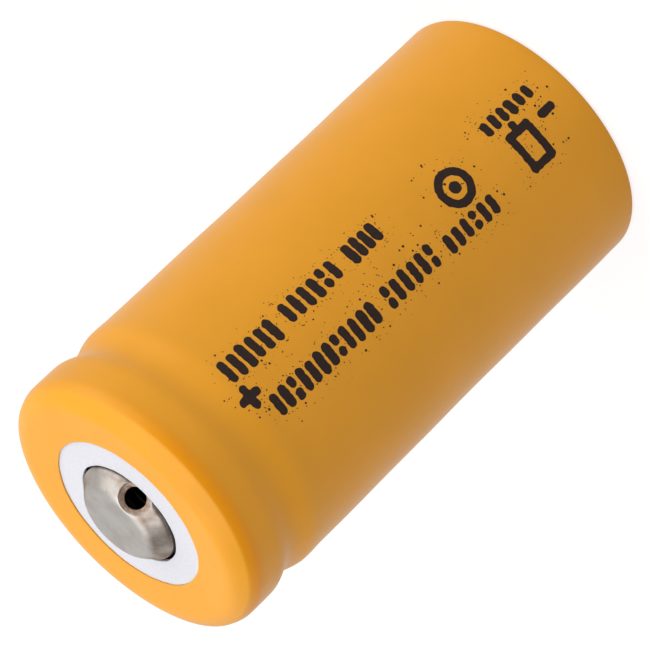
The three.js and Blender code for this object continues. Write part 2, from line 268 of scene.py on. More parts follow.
def by_place(tree, axis, *stops):
    """A share that follows X, Y or Z. Each stop is a place in mm and its share."""
    low, span = stops[0][0], stops[-1][0] - stops[0][0]
    coords = tree.nodes.new("ShaderNodeTexCoord")
    split = tree.nodes.new("ShaderNodeSeparateXYZ")
    tree.links.new(coords.outputs["Object"], split.inputs["Vector"])
    place = tree.nodes.new("ShaderNodeMath")
    place.operation = "MULTIPLY_ADD"
    place.inputs[1].default_value, place.inputs[2].default_value = 1 / (MM * span), -low / span
    tree.links.new(split.outputs[axis], place.inputs[0])
    made = tree.nodes.new("ShaderNodeValToRGB")
    elements = made.color_ramp.elements
    while len(elements) < len(stops):
        elements.new(0.5)
    for element, (at, share) in zip(elements, stops):
        element.position = (at - low) / span
        element.color = (share, share, share, 1)
    tree.links.new(place.outputs["Value"], made.inputs["Fac"])
    return made.outputs["Color"]


def mixed(tree, share, below, above):
    """One colour over another by a share, which is a socket."""
    made = tree.nodes.new("ShaderNodeMix")
    made.data_type = "RGBA"
    tree.links.new(share, made.inputs["Factor"])
    for socket, colour in ((made.inputs["A"], below), (made.inputs["B"], above)):
        if isinstance(colour, tuple):
            socket.default_value = (*colour, 1)
        else:
            tree.links.new(colour, socket)
    return made.outputs["Result"]


def varied(name, colours, roughness, metallic=0.0, grain=2000, relief=0.0, stretch=(1, 1, 1), ior=1.5):
    """A finish whose colour and roughness drift between two values."""
    material, tree, shader = shader_of(name, metallic=metallic, ior=ior)
    drift = pattern(tree, grain, stretch=stretch).outputs["Fac"]
    tree.links.new(ramp(tree, drift, *colours), shader.inputs["Base Color"])
    tree.links.new(ramp(tree, drift, *roughness), shader.inputs["Roughness"])
    if relief:
        tree.links.new(bump(tree, drift, relief * MM), shader.inputs["Normal"])
    return material


def sleeve_material():
    """Satin heat-shrunk film: orange with faint clouding, a fine grain, slow undulations and dust.

    Behind its upper rim on the -X side, a band of painted shade makes it deeper in colour.
    """
    material, tree, shader = shader_of("sleeve_film", ior=1.33)
    shader.inputs["Sheen Weight"].default_value = 0.25
    shader.inputs["Sheen Roughness"].default_value = 0.3
    cloud = pattern(tree, 240, detail=4).outputs["Fac"]
    film = ramp(tree, cloud, (0.80, 0.335, 0.014), (0.84, 0.352, 0.018))
    # painted shade: a darker, deeper orange band behind the upper rim, full from the -X side to the
    # middle and gone by 5.5 mm towards +X
    shade_band_mask = by_place(tree, "Z", (31.5, 0.0), (32.1, 1.0), (32.5, 1.0), (32.75, 0.0))
    film_shade_banded = mixed(tree, shade_band_mask, film, (0.84, 0.30, 0.002))
    film_side_shaded = mixed(tree, by_place(tree, "X", (0.5, 0.0), (5.5, 1.0)), film_shade_banded, film)
    dusted = mixed(tree, specks(tree, 1500, 0.09, 0.3), film_side_shaded, (0.34, 0.13, 0.02))
    pale = mixed(tree, specks(tree, 1700, 0.08, 0.1), dusted, (0.95, 0.66, 0.28))
    tree.links.new(pale, shader.inputs["Base Color"])
    grain = pattern(tree, 9000, detail=2).outputs["Fac"]
    tree.links.new(ramp(tree, grain, 0.36, 0.46, 0.25, 0.75), shader.inputs["Roughness"])
    swell = pattern(tree, 500, detail=2).outputs["Fac"]
    slow = bump(tree, swell, 0.03 * MM)
    tree.links.new(bump(tree, grain, 0.003 * MM, slow), shader.inputs["Normal"])
    return material


def cap_material():
    """Satin nickel: a clean flat top, sides that are stained and also carry painted shade and a painted
    brown reflection, and a few dark pits.
    """
    material, tree, shader = shader_of("button_nickel", metallic=1.0)
    stain = pattern(tree, 700, detail=7).outputs["Fac"]
    top = ramp(tree, stain, (0.47, 0.43, 0.395), (0.53, 0.505, 0.48), 0.38, 0.56)
    # below the flat top the sides are darker and browner: stains in the noise, with painted shade and a
    # painted brown reflection over all of them
    sides = ramp(tree, stain, (0.27, 0.205, 0.165), (0.49, 0.45, 0.41), 0.40, 0.60)
    upper = by_place(tree, "Z", (CAP_TOP_Z - 0.28, 0.0), (CAP_TOP_Z - 0.04, 1.0))
    nickel = mixed(tree, upper, sides, top)
    pitted = mixed(tree, specks(tree, 2300, 0.12, 0.16), nickel, (0.09, 0.065, 0.05))
    tree.links.new(pitted, shader.inputs["Base Color"])
    tree.links.new(ramp(tree, stain, 0.52, 0.38), shader.inputs["Roughness"])
    fine = pattern(tree, 5200, detail=4).outputs["Fac"]
    rolled = bump(tree, stain, 0.03 * MM)
    tree.links.new(bump(tree, fine, 0.006 * MM, rolled), shader.inputs["Normal"])
    return material


def fibre_material():
    """Matt white fibre board with a felted grain and sparse grey specks."""
    material, tree, shader = shader_of("fibre_board", roughness=0.85)
    felt = pattern(tree, 7000, detail=4).outputs["Fac"]
    board = ramp(tree, felt, (0.61, 0.615, 0.655), (0.67, 0.67, 0.715))
    soiled = mixed(tree, specks(tree, 2600, 0.12, 0.3), board, (0.40, 0.37, 0.36))
    tree.links.new(soiled, shader.inputs["Base Color"])
    tree.links.new(bump(tree, felt, 0.012 * MM), shader.inputs["Normal"])
    return material


SLEEVE_FILM = sleeve_material()
NICKEL = cap_material()
FIBRE = fibre_material()
INK = varied(
    "ink", ((0.021, 0.010, 0.008), (0.031, 0.016, 0.013)), (0.55, 0.7), grain=6000, relief=0.004, ior=1.3
)
CAN_STEEL = varied(
    "can_nickel", ((0.58, 0.57, 0.55), (0.68, 0.67, 0.66)), (0.22, 0.34), 1.0, 1500, 0.002, (1, 1, 0.2)
)
TORN_STEEL = varied("torn_steel", ((0.34, 0.23, 0.17), (0.62, 0.48, 0.38)), (0.5, 0.7), 0.8, 4000, 0.05)
GASKET_BLUE = varied("gasket_blue", ((0.024, 0.10, 0.31), (0.034, 0.13, 0.37)), (0.5, 0.62), grain=1400)
PTC_BLACK = varied("ptc_black", ((0.016, 0.016, 0.018), (0.03, 0.03, 0.032)), (0.5, 0.66), grain=3000)
ALUMINIUM = varied("aluminium", ((0.70, 0.71, 0.72), (0.80, 0.81, 0.82)), (0.28, 0.42), 1.0, 1800, 0.003)
NICKEL_STRIP = varied(
    "nickel_strip", ((0.54, 0.51, 0.46), (0.62, 0.59, 0.54)), (0.24, 0.36), 1.0, 1600, 0.002
)
PALE_PLASTIC = varied("pale_plastic", ((0.76, 0.74, 0.66), (0.84, 0.82, 0.75)), (0.5, 0.64), grain=1200)
COPPER = varied("copper", ((0.70, 0.34, 0.20), (0.80, 0.42, 0.27)), (0.26, 0.40), 1.0, 1700, 0.002)
GRAPHITE = varied(
    "graphite", ((0.018, 0.018, 0.020), (0.034, 0.034, 0.036)), (0.7, 0.85), grain=9000, relief=0.01
)
CATHODE = varied(
    "cathode_black", ((0.010, 0.010, 0.012), (0.020, 0.020, 0.023)), (0.78, 0.9), grain=9000, relief=0.01
)
SEPARATOR_WHITE = varied(
    "separator_white", ((0.82, 0.82, 0.80), (0.90, 0.90, 0.89)), (0.45, 0.6), grain=900
)
AMBER_TAPE = varied("amber_tape", ((0.60, 0.31, 0.05), (0.68, 0.38, 0.08)), (0.22, 0.32), grain=800)
BLUE_TAPE = varied("blue_tape", ((0.04, 0.18, 0.56), (0.06, 0.23, 0.64)), (0.24, 0.34), grain=800)

# ---------------------------------------------------------------- sleeve
MARK_LIFT = 0.006  # the ink stands this far out of the film
MARK_ROOT = 0.004  # and its edges reach this far into it
HOLE_STRETCH = 0.17  # the film's upper hole reaches this much further out at -Y and +Y
HOLE_DRIFT = 0.066  # and lies this much towards -Y
LIP_BAND = 0.7  # width of the film, round that hole, that follows the hole's uneven edge
SIDE_BAND = (0.9, 0.8)  # the side's unevenness sets in this far inside the rim, over this width
SINK_BAND = (30.5, 2.0)  # the rim's sinking sets in at this height, and is full this much higher
SINK_WIDTH = 1.3  # it grows over this width outside the washer's edge
SLACK = 0.065  # the rim's corner is drawn in this much at +X and -X
SLACK_PLACE = (8.14, 32.95)  # radius and height of that corner
SLACK_REACH = 0.5


def sleeve_radius(angle, z):
    """Radius of the film's outer side between its two rolled edges."""
    waist = SLEEVE_WAIST * np.sin(np.clip(z / 27, 0, 1) * math.pi)
    dip = (z - BEAD_Z) / SLEEVE_DIP_WIDTH
    depth = SLEEVE_DIP_DEPTH * (1 - SLEEVE_DIP_EASE * np.sin(angle) ** 2)
    groove = np.where(np.abs(dip) < 0.5, depth / 2 * (1 + np.cos(2 * math.pi * dip)), 0)
    hump = SLEEVE_HUMP * np.exp(-(((z - SLEEVE_HUMP_Z) / SLEEVE_HUMP_WIDTH) ** 2))
    upper = BULGE * smooth_step((z - BEAD_Z) / BULGE_RISE)
    uneven = 0.012 * np.sin(2 * angle + 0.35 * z) + 0.008 * np.sin(5 * angle - 0.9 * z + 1)
    return SLEEVE_R - waist - groove + hump + upper + uneven * smooth_step(z / 2)


def sleeve_warp(angle, r, z):
    """Bends a plain turned point of the film onto its true place.

    The rim is rounder at +X and -X and lies lower at -Y, and the upper hole is stretched and has
    an uneven edge.
    """
    if z < BEAD_Z:
        return r + sleeve_radius(angle, z) - SLEEVE_R, np.full(len(angle), z)
    inside, width = SIDE_BAND
    plain = SLEEVE_R + BULGE
    moved = (sleeve_radius(angle, z) - plain) * smooth_step((r - (plain - inside)) / width)
    stretched = HOLE_STRETCH * np.sin(angle) ** 2 - HOLE_DRIFT * np.sin(angle)
    ragged = 0.012 * np.sin(7 * angle + 1) + 0.008 * np.sin(17 * angle)
    moved = moved + (1 - smooth_step((r - SLEEVE_TOP_HOLE_R) / LIP_BAND)) * (stretched + ragged)
    away = math.hypot(r - SLACK_PLACE[0], z - SLACK_PLACE[1]) / SLACK_REACH
    slack = SLACK * math.exp(-away * away) * np.abs(np.cos(angle))
    low, rise = SINK_BAND
    sunk = SLEEVE_SINK * smooth_step((r - RING_R) / SINK_WIDTH) * smooth_step((z - low) / rise)
    return r + moved - slack, z - slack - sunk * np.clip(-np.sin(angle), 0, 1)


def sleeve_shoulder(inset=0.0):
    """The film's line from its side over the bend and the dome, and the height it starts at."""
    swell, knee = math.radians(SLEEVE_SWELL), math.radians(SLEEVE_KNEE)
    step, stride = SLEEVE_SWELL_R - SLEEVE_BEND_R, SLEEVE_DOME_R - SLEEVE_BEND_R
    swell_r = SLEEVE_R + BULGE - SLEEVE_SWELL_R
    bend_r = swell_r + step * math.cos(swell)
    dome_r, dome_z = bend_r - stride * math.cos(knee), SLEEVE_FACE_Z - SLEEVE_DOME_R
    bend_z = dome_z + stride * math.sin(knee)
    swell_z = bend_z - step * math.sin(swell)
    curve = joined(
        arc((swell_r, swell_z), SLEEVE_SWELL_R - inset, 0, SLEEVE_SWELL, 12),
        arc((bend_r, bend_z), SLEEVE_BEND_R - inset, SLEEVE_SWELL, SLEEVE_KNEE, 12),
        arc((dome_r, dome_z), SLEEVE_DOME_R - inset, SLEEVE_KNEE, 90, 16),
    )
    return curve, swell_z


def sleeve():
    edge = SLEEVE_EDGE
    shoulder, side_high = sleeve_shoulder()
    side_low = SLEEVE_FOOT_Z + SLEEVE_FOOT_R
    side_z = np.concatenate([np.linspace(side_low, 26, 60), np.linspace(26, side_high, 61)[1:]])
    side_r = np.where(side_z > BEAD_Z, SLEEVE_R + BULGE, SLEEVE_R)
    top_z, bottom_z = SLEEVE_FACE_Z, SLEEVE_FOOT_Z
    lip_z = top_z - SLEEVE_LIP_DROOP
    outer = joined(
        line((SLEEVE_BOTTOM_HOLE_R + edge, bottom_z), (SLEEVE_R - SLEEVE_FOOT_R, bottom_z), 8),
        arc((SLEEVE_R - SLEEVE_FOOT_R, bottom_z + SLEEVE_FOOT_R), SLEEVE_FOOT_R, -90, 0, 10),
        np.column_stack([side_r, side_z]),
        shoulder,
        line(shoulder[-1], (SLEEVE_TOP_HOLE_R + edge, lip_z), 24),
    )
    inner_r, inner_top, inner_bottom = SLEEVE_R - SLEEVE_WALL, top_z - SLEEVE_WALL, bottom_z + SLEEVE_WALL
    upper_edge = joined(
        arc((SLEEVE_TOP_HOLE_R + edge, lip_z - edge), edge, 90, 180, 5),
        arc((SLEEVE_TOP_HOLE_R + edge, inner_top + edge), edge, 180, 270, 5),
    )
    lower_edge = joined(
        arc((SLEEVE_BOTTOM_HOLE_R + edge, inner_bottom - edge), edge, 90, 180, 5),
        arc((SLEEVE_BOTTOM_HOLE_R + edge, bottom_z + edge), edge, 180, 270, 5),
    )
    inside = sleeve_shoulder(SLEEVE_WALL)[0][::-1]
    inner = joined(
        line((SLEEVE_TOP_HOLE_R + edge, inner_top), inside[0], 12),
        inside,
        np.column_stack([side_r - SLEEVE_WALL, side_z])[::-2],
        line((inner_r, inner_bottom), (SLEEVE_BOTTOM_HOLE_R + edge, inner_bottom), 8),
    )
    verts, faces = turned(joined(outer, upper_edge, inner, lower_edge), 288, sleeve_warp)
    return new_piece("sleeve_skin", verts, faces, SLEEVE_FILM, "outer_sleeve", "sleeve_film")


# ---------------------------------------------------------------- printed marks
# Marks are drawn on the unrolled film: z is the height, and s is the arc length from the -Y side
# towards +X.
STROKE = 0.25  # half the width of a stroke
BREAK = STROKE * 1.25  # from a broken bar's middle to the ends of its two strokes
GRID = 0.05
MARK_Z = (1.2, 28.6)  # the grid's heights
MARK_ARC = 3.1  # and its reach to each side


class Print:
    """A field of distances to the nearest stroke, sampled on a grid of the unrolled film."""

    def __init__(self, seed):
        self.rng = np.random.default_rng(seed)
        self.z = np.arange(MARK_Z[0], MARK_Z[1], GRID)
        self.s = np.arange(-MARK_ARC, MARK_ARC + GRID / 2, GRID)
        self.zz, self.ss = np.meshgrid(self.z, self.s, indexing="ij")
        self.field = np.full(self.zz.shape, 9.0)

    def merge(self, distance, softness=0.05):
        h = np.clip(0.5 + 0.5 * (distance - self.field) / softness, 0, 1)
        self.field = distance * (1 - h) + self.field * h - softness * h * (1 - h)

    def stroke(self, start, end, half=STROKE):
        """A round-ended stroke between two (z, s) points."""
        (z0, s0), (z1, s1) = start, end
        dz, ds = z1 - z0, s1 - s0
        along = ((self.zz - z0) * dz + (self.ss - s0) * ds) / max(dz * dz + ds * ds, 1e-9)
        along = np.clip(along, 0, 1)
        self.merge(np.hypot(self.zz - z0 - along * dz, self.ss - s0 - along * ds) - half)

    def dot(self, centre, radius):
        self.stroke(centre, centre, radius)

    def path(self, points, half=STROKE, closed=False):
        ends = points[1:] + points[:1] if closed else points[1:]
        for start, end in zip(points, ends):
            self.stroke(start, end, half)

    def circle(self, centre, radius, half=STROKE):
        self.merge(np.abs(np.hypot(self.zz - centre[0], self.ss - centre[1]) - radius) - half)

    def bars(self, top_z, bottom_z, low_s, high_s, pitch=0.72):
        """A row of separate upright bars, some of them broken in the middle, which spell nothing."""
        count = round((top_z - bottom_z - 2 * STROKE) / pitch) + 1
        middle = (low_s + high_s) / 2
        low, high = low_s + STROKE, high_s - STROKE
        for z in np.linspace(top_z - STROKE, bottom_z + STROKE, count):
            kind = self.rng.integers(0, 5)
            bottom, top = low + self.rng.uniform(-0.06, 0.06), high + self.rng.uniform(-0.06, 0.06)
            if kind == 0:
                self.stroke((z, bottom), (z, middle - BREAK))
                self.stroke((z, middle + BREAK), (z, top))
            else:
                self.stroke((z, bottom), (z, top), STROKE * (1.1 if kind == 1 else 1.0))

    def overspray(self, count, reach, sizes):
        """Fine droplets, thickest close to the strokes, but none that joins two of them."""
        near = np.argwhere((self.field > sizes[1] + 0.04) & (self.field < reach))
        weight = np.exp(-self.field[near[:, 0], near[:, 1]] / (reach / 3))
        picks = self.rng.choice(len(near), count, p=weight / weight.sum(), replace=False)
        for i, j in near[picks]:
            place = (self.z[i] + self.rng.uniform(-0.02, 0.02), self.s[j] + self.rng.uniform(-0.02, 0.02))
            self.speck(place, self.rng.uniform(*sizes))

    def speck(self, place, radius):
        """A dot merged only into the grid points near it."""
        reach = int(0.3 / GRID)
        i, j = np.searchsorted(self.z, place[0]), np.searchsorted(self.s, place[1])
        part = np.s_[max(i - reach, 0) : i + reach, max(j - reach, 0) : j + reach]
        distance = np.hypot(self.zz[part] - place[0], self.ss[part] - place[1]) - radius
        self.field[part] = np.minimum(self.field[part], distance)

    def roughen(self, height, size):
        """Uneven stroke edges, as wet ink gives."""
        for i, z in enumerate(self.z):
            for j, s in enumerate(self.s):
                if abs(self.field[i, j]) < 0.3:
                    self.field[i, j] += height * noise.noise(Vector((z / size, s / size, 0.5)))


def draw_marks():
    """Lays out the print: a polarity sign at each end, rows of plain bars and two simple figures."""
    ink = Print(seed=7)
    plus, minus, arm = (27.3, -0.03), (2.45, 0.02), 0.5
    ink.stroke((plus[0] - arm, plus[1]), (plus[0] + arm, plus[1]))
    ink.stroke((plus[0], plus[1] - arm), (plus[0], plus[1] + arm))
    ink.stroke((minus[0] - 0.4, minus[1]), (minus[0] + 0.4, minus[1]))
    rows = [
        (27.4, 23.3, 0.95, 2.4),
        (22.5, 18.3, 1.1, 2.4),
        (17.4, 15.0, 1.1, 2.4),
        (26.6, 18.4, -2.05, -0.66),
        (17.6, 13.5, -2.05, -0.66),
        (12.7, 8.6, -2.2, -1.0),
        (6.2, 2.2, 1.0, 1.95),
    ]
    for top_z, bottom_z, low_s, high_s in rows:
        ink.bars(top_z, bottom_z, low_s, high_s)
    # a plain ring round a dot
    ink.circle((9.9, 0.42), 0.95)
    ink.dot((9.9, 0.42), 0.36)
    # a standing cell: its outline and the nub on top
    left, right, low, high = 3.95, 5.35, -1.9, 0.25
    ink.path([(left, low), (right, low), (right, high), (left, high)], closed=True)
    ink.stroke((4.65, high), (4.65, high + 0.42), 0.26)
    ink.roughen(height=0.045, size=0.2)
    ink.overspray(count=620, reach=1.1, sizes=(0.02, 0.045))
    ink.overspray(count=60, reach=0.5, sizes=(0.04, 0.08))
    return ink


def cut_cells(ink):
    """The inked area as polygons on the unrolled film, by marching squares. Corners are shared."""
    points, faces, rims, seen = [], [], [], {}

    def point(z, s):
        key = (round(z * 1e4), round(s * 1e4))
        if key not in seen:
            seen[key] = len(points)
            points.append((z, s))
        return seen[key]

    inside = ink.field < 0
    touched = inside[:-1, :-1] | inside[1:, :-1] | inside[:-1, 1:] | inside[1:, 1:]
    for i, j in np.argwhere(touched):
        corners = [(i, j), (i + 1, j), (i + 1, j + 1), (i, j + 1)]
        polygon, crossings = [], []
        for (a, b), (c, d) in zip(corners, corners[1:] + corners[:1]):
            here, there = ink.field[a, b], ink.field[c, d]
            if here < 0:
                polygon.append(point(ink.z[a], ink.s[b]))
            if (here < 0) != (there < 0):
                t = np.clip(here / (here - there), 0.02, 0.98)
                z, s = ink.z[a] + t * (ink.z[c] - ink.z[a]), ink.s[b] + t * (ink.s[d] - ink.s[b])
                polygon.append(point(z, s))
                crossings.append((polygon[-1], here < 0))
        if len(polygon) > 2:
            faces.append(polygon)
        if len(crossings) == 2:
            (first, leaving), (second, _) = crossings
            rims.append((first, second) if leaving else (second, first))
    return np.array(points), faces, rims


def marks():
    """The print as a thin raised layer that follows the film, with its edges turned down into it."""
    points, faces, rims = cut_cells(draw_marks())
    z, angle = points[:, 0], points[:, 1] / SLEEVE_R - math.pi / 2
    base = sleeve_radius(angle, z)

    def placed(lift):
        r = base + lift
        return np.column_stack([r * np.cos(angle), r * np.sin(angle), z])

    count = len(points)
    verts = np.vstack([placed(MARK_LIFT), placed(-MARK_ROOT)])
    skirt = [[a, b, b + count, a + count] for a, b in rims]
    return new_piece("printed_marks", verts, faces + skirt, INK, slot="print_ink", smooth_angle=60)


# ---------------------------------------------------------------- washer and button cap
def rounded_ring(inner_r, outer_r, low, high, edge):
    """The section of a flat ring with rounded edges."""
    return joined(
        arc((inner_r + edge, low + edge), edge, 180, 270, 4),
        arc((outer_r - edge, low + edge), edge, 270, 360, 4),
        arc((outer_r - edge, high - edge), edge, 0, 90, 4),
        line((outer_r - edge, high), (inner_r + edge, high), 12),
        arc((inner_r + edge, high - edge), edge, 90, 180, 4),
    )


def washer():
    phase = np.random.default_rng(3).uniform(0, 6.28, 2)

    def warp(angle, r, z):
        share = smooth_step((RING_HOLE_R + RING_RAGGED - r) / RING_RAGGED)
        ragged = 0.012 * np.sin(5 * angle + phase[0]) + 0.01 * np.sin(13 * angle + phase[1])
        return r + share * ragged, np.full(len(angle), z)

    outline = rounded_ring(RING_HOLE_R, RING_R, RING_TOP_Z - RING_THICK, RING_TOP_Z, 0.015)
    verts, faces = turned(outline, 192, warp)
    verts = np.array(verts) + np.array([*RING_SHIFT, 0])
    return new_piece("washer", verts, faces, FIBRE, "insulator_ring", "white_fibre")


def cap_line():
    """The button cap's outer line from the middle of its top to the flange's edge."""
    end_r = CAP_TOP_R + CAP_SHOULDER_R * math.cos(CAP_SLOPE)
    end_z = CAP_TOP_Z - CAP_SHOULDER_R * (1 - math.sin(CAP_SLOPE))
    cut_back = CAP_BEND_R * math.tan(CAP_SLOPE / 2)
    bend_z = end_z - (CAP_WALL_R - end_r) / math.tan(CAP_SLOPE) - cut_back
    bend_r = CAP_WALL_R - CAP_BEND_R
    bend_start = (bend_r + CAP_BEND_R * math.cos(CAP_SLOPE), bend_z + CAP_BEND_R * math.sin(CAP_SLOPE))
    foot_r, foot_z = CAP_WALL_R + CAP_FOOT_R, CAP_FLANGE_TOP_Z + CAP_FOOT_R
    outline = joined(
        line((0, CAP_TOP_Z), (CAP_TOP_R, CAP_TOP_Z), 22),
        arc((CAP_TOP_R, CAP_TOP_Z - CAP_SHOULDER_R), CAP_SHOULDER_R, 90, math.degrees(CAP_SLOPE), 9),
        line((end_r, end_z), bend_start, 12),
        arc((bend_r, bend_z), CAP_BEND_R, math.degrees(CAP_SLOPE), 0, 7),
        line((CAP_WALL_R, bend_z), (CAP_WALL_R, foot_z), 8),
        arc((foot_r, foot_z), CAP_FOOT_R, 180, 270, 7),
        line((foot_r, CAP_FLANGE_TOP_Z), (CAP_FLANGE_R, CAP_FLANGE_TOP_Z), 8),
    )
    vent_r = end_r + (end_z - VENT_Z) * math.tan(CAP_SLOPE)
    return outline, vent_r


def plunge(across, down):
    """How deep the vent draws the sheet in: 0 outside its mouth, 1 at the throat's edge."""
    cx, cy = VENT_DRIFT
    shrink = VENT_R - VENT_THROAT_R
    a = cx * cx + cy * cy - shrink * shrink
    b = 2 * (VENT_R * shrink - across * cx - down * cy)
    c = across**2 + down**2 - VENT_R**2
    return (-b + math.sqrt(max(b * b - 4 * a * c, 0))) / (2 * a)


def draw_in_vent(bm, vent_r):
    """Refines the sheet round the vent, draws it in towards the throat and opens it there."""
    turn = Matrix.Rotation(-VENT_AZIMUTH, 3, "Z")
    axis = Vector((math.cos(CAP_SLOPE), 0, math.sin(CAP_SLOPE)))
    down_slope = Vector((math.sin(CAP_SLOPE), 0, -math.cos(CAP_SLOPE)))
    centre = Vector((vent_r, 0, VENT_Z))

    def local(co):
        away = turn @ co - centre
        return away.y, away.dot(down_slope), away.dot(axis)

    def near_vent(co):
        across, down, out = local(co)
        return math.hypot(across, down) < VENT_REACH and out > -VENT_BACK

    for _ in range(2):
        edges = [e for e in bm.edges if all(near_vent(v.co) for v in e.verts)]
        bmesh.ops.subdivide_edges(bm, edges=edges, cuts=1, use_grid_fill=True)
    gone = []
    for vert in bm.verts:
        if not near_vent(vert.co):
            continue
        across, down, _ = local(vert.co)
        share = plunge(across, down)
        softened = (math.sqrt(share * share + 0.02) + share) / 2  # rounds the mouth's edge
        fade = smooth_step((VENT_REACH - math.hypot(across, down)) / VENT_FADE)
        depth = VENT_DEPTH * min(softened, 1.2) * float(fade)
        vert.co -= turn.transposed() @ (axis * depth)
        if share > 1.0:
            gone.append(vert)
    bmesh.ops.delete(bm, geom=gone, context="VERTS")
    for face in bm.faces:
        middle = face.calc_center_median()
        if near_vent(middle) and plunge(*local(middle)[:2]) > VENT_TORN:
            face.material_index = 1


def cap():
    """The button as one sheet: turned, then drawn in round the vent, then given its thickness."""
    outline, vent_r = cap_line()
    verts, faces = turned(outline, 256, closed=False)
    mesh = bpy.data.meshes.new("button_cap")
    mesh.from_pydata(np.array(verts).tolist(), [], faces)
    bm = bmesh.new()
    bm.from_mesh(mesh)
    draw_in_vent(bm, vent_r)
    bmesh.ops.recalc_face_normals(bm, faces=bm.faces)
    top = max(bm.faces, key=lambda f: f.calc_center_median().z)
    if top.normal.z < 0:
        bmesh.ops.reverse_faces(bm, faces=bm.faces)
    bm.to_mesh(mesh)
    bm.free()
    mesh.transform(Matrix.Scale(MM, 4) @ Matrix.Translation((*CAP_SHIFT, 0)))
    mesh.materials.append(NICKEL)
    mesh.materials.append(TORN_STEEL)
    piece = bpy.data.objects.new("button_cap", mesh)
    bpy.context.scene.collection.objects.link(piece)
    wall = piece.modifiers.new("sheet", "SOLIDIFY")
    wall.thickness, wall.offset, wall.use_even_offset = CAP_SHEET * MM, -1, True
    wall.material_offset_rim = 1
    bpy.context.view_layer.objects.active = piece
    bpy.ops.object.modifier_apply(modifier=wall.name)
    for polygon in piece.data.polygons:
        polygon.use_smooth = True
    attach(piece, BODY)
    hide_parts("top_cap")
    return piece


# ---------------------------------------------------------------- can
def can():
    groove_z = np.linspace(BEAD_Z - BEAD_WIDTH / 2, BEAD_Z + BEAD_WIDTH / 2, 25)
    turn = 2 * math.pi * (groove_z - BEAD_Z) / BEAD_WIDTH
    groove = np.column_stack([CAN_R - BEAD_DEPTH / 2 * (1 + np.cos(turn)), groove_z])
    shoulder_z = CAN_LIP_TOP_Z - CAN_SHOULDER_R
    step_r = CONTACT_R + CAN_STEP_Z
    outer = joined(
        line((0, 0), (CONTACT_R, 0), 12),
        line((CONTACT_R, 0), (step_r, CAN_STEP_Z), 4),
        line((step_r, CAN_STEP_Z), (CAN_R - CAN_FOOT_R, CAN_STEP_Z), 5),
        arc((CAN_R - CAN_FOOT_R, CAN_STEP_Z + CAN_FOOT_R), CAN_FOOT_R, -90, 0, 8),
        line((CAN_R, CAN_STEP_Z + CAN_FOOT_R), groove[0], 20),
        groove,
        arc((CAN_R - CAN_SHOULDER_R, shoulder_z), CAN_SHOULDER_R, 0, 90, 12),
        line((CAN_R - CAN_SHOULDER_R, CAN_LIP_TOP_Z), (CAN_LIP_R, CAN_LIP_TOP_Z), 4),
    )
    inner = offset(outer, CAN_WALL)[::-1]
    inner[-1][0] = 0
    verts, faces = turned(joined(outer, inner), 192)
    return new_piece("can_shell", verts, faces, CAN_STEEL, "steel_can", "plated_steel")


# ---------------------------------------------------------------- parts under the cap
STACK_R = 7.2
GAP = 0.03
PTC_Z = (31.3, 31.66)
PTC_HOLE_R = 4.4
VENT_DISC_RIM_Z = 31.26
VENT_DISC_SHEET = 0.32
CID_RING_Z = (30.0, 30.86)
CID_PLATE_Z = 29.6
GASKET_Z = (30.1, 32.59)


def eased(points, radius, closed=True):
    """The line with every corner replaced by a small curve."""
    points = np.asarray(points, float)
    count = len(points)
    made = [] if closed else [points[0]]
    for i in range(count) if closed else range(1, count - 1):
        before, corner, after = points[i - 1], points[i], points[(i + 1) % count]
        into, out = corner - before, after - corner
        start = corner - into * min(radius / np.linalg.norm(into), 0.4)
        end = corner + out * min(radius / np.linalg.norm(out), 0.4)
        for t in np.linspace(0, 1, 5):
            made.append((1 - t) ** 2 * start + 2 * t * (1 - t) * corner + t * t * end)
    if not closed:
        made.append(points[-1])
    return np.array(made)


def ptc_ring():
    verts, faces = turned(rounded_ring(PTC_HOLE_R, STACK_R, *PTC_Z, 0.05), 128)
    return new_piece("ptc_disc", verts, faces, PTC_BLACK, "ptc_ring", "ptc_polymer")


def vent_disc():
    """A pressed membrane: flat rim, sunk web with a score line, and a nipple in the middle."""
    rim, web, nipple, score_r = VENT_DISC_RIM_Z, VENT_DISC_RIM_Z - 0.5, VENT_DISC_RIM_Z - 0.9, 3.0
    outside = [(STACK_R, rim), (4.5, rim), (4.1, web)]
    score = [(score_r + 0.15, web), (score_r, web - 0.12), (score_r - 0.15, web)]
    inside = [(1.15, web), (0.7, nipple), (0, nipple)]
    upper = eased(outside + score + inside, 0.04, closed=False)
    lower = offset(eased(outside + inside, 0.12, closed=False), VENT_DISC_SHEET)
    lower[-1][0] = 0
    verts, faces = turned(joined(upper[::-1], lower), 128)
    return new_piece("vent_membrane", verts, faces, ALUMINIUM, "vent_disc", "aluminium_sheet", 25)


def cid_insulator_ring():
    low, high = CID_RING_Z
    foot_top, wall_r = 30.38, 4.66
    section = [(3.9, low), (5.3, low), (5.3, high), (wall_r, high), (wall_r, foot_top), (3.9, foot_top)]
    verts, faces = turned(eased(section, 0.06), 128)
    return new_piece("cid_seat", verts, faces, PALE_PLASTIC, "cid_insulator_ring", "pale_plastic")


def gasket():
    """The moulded seal, with its upper lip folded over the cap's flange."""
    low, high = GASKET_Z
    hole_r, lip_r, bevel = 5.6, 6.0, 0.5
    inner_r = STACK_R + GAP
    outer_r = inner_r + 0.42
    lip_low, seat = CAP_FLANGE_TOP_Z + GAP, VENT_DISC_RIM_Z - VENT_DISC_SHEET - GAP
    section = [
        (hole_r, low),
        (outer_r - bevel, low),
        (outer_r, low + bevel),
        (outer_r, high - bevel),
        (outer_r - bevel, high),
        (lip_r, high),
        (lip_r, lip_low),
        (inner_r, lip_low),
        (inner_r, seat),
        (hole_r, seat),
    ]
    verts, faces = turned(eased(section, 0.06), 160)
    return new_piece("crimp_seal", verts, faces, GASKET_BLUE, "crimp_gasket", "gasket_plastic")


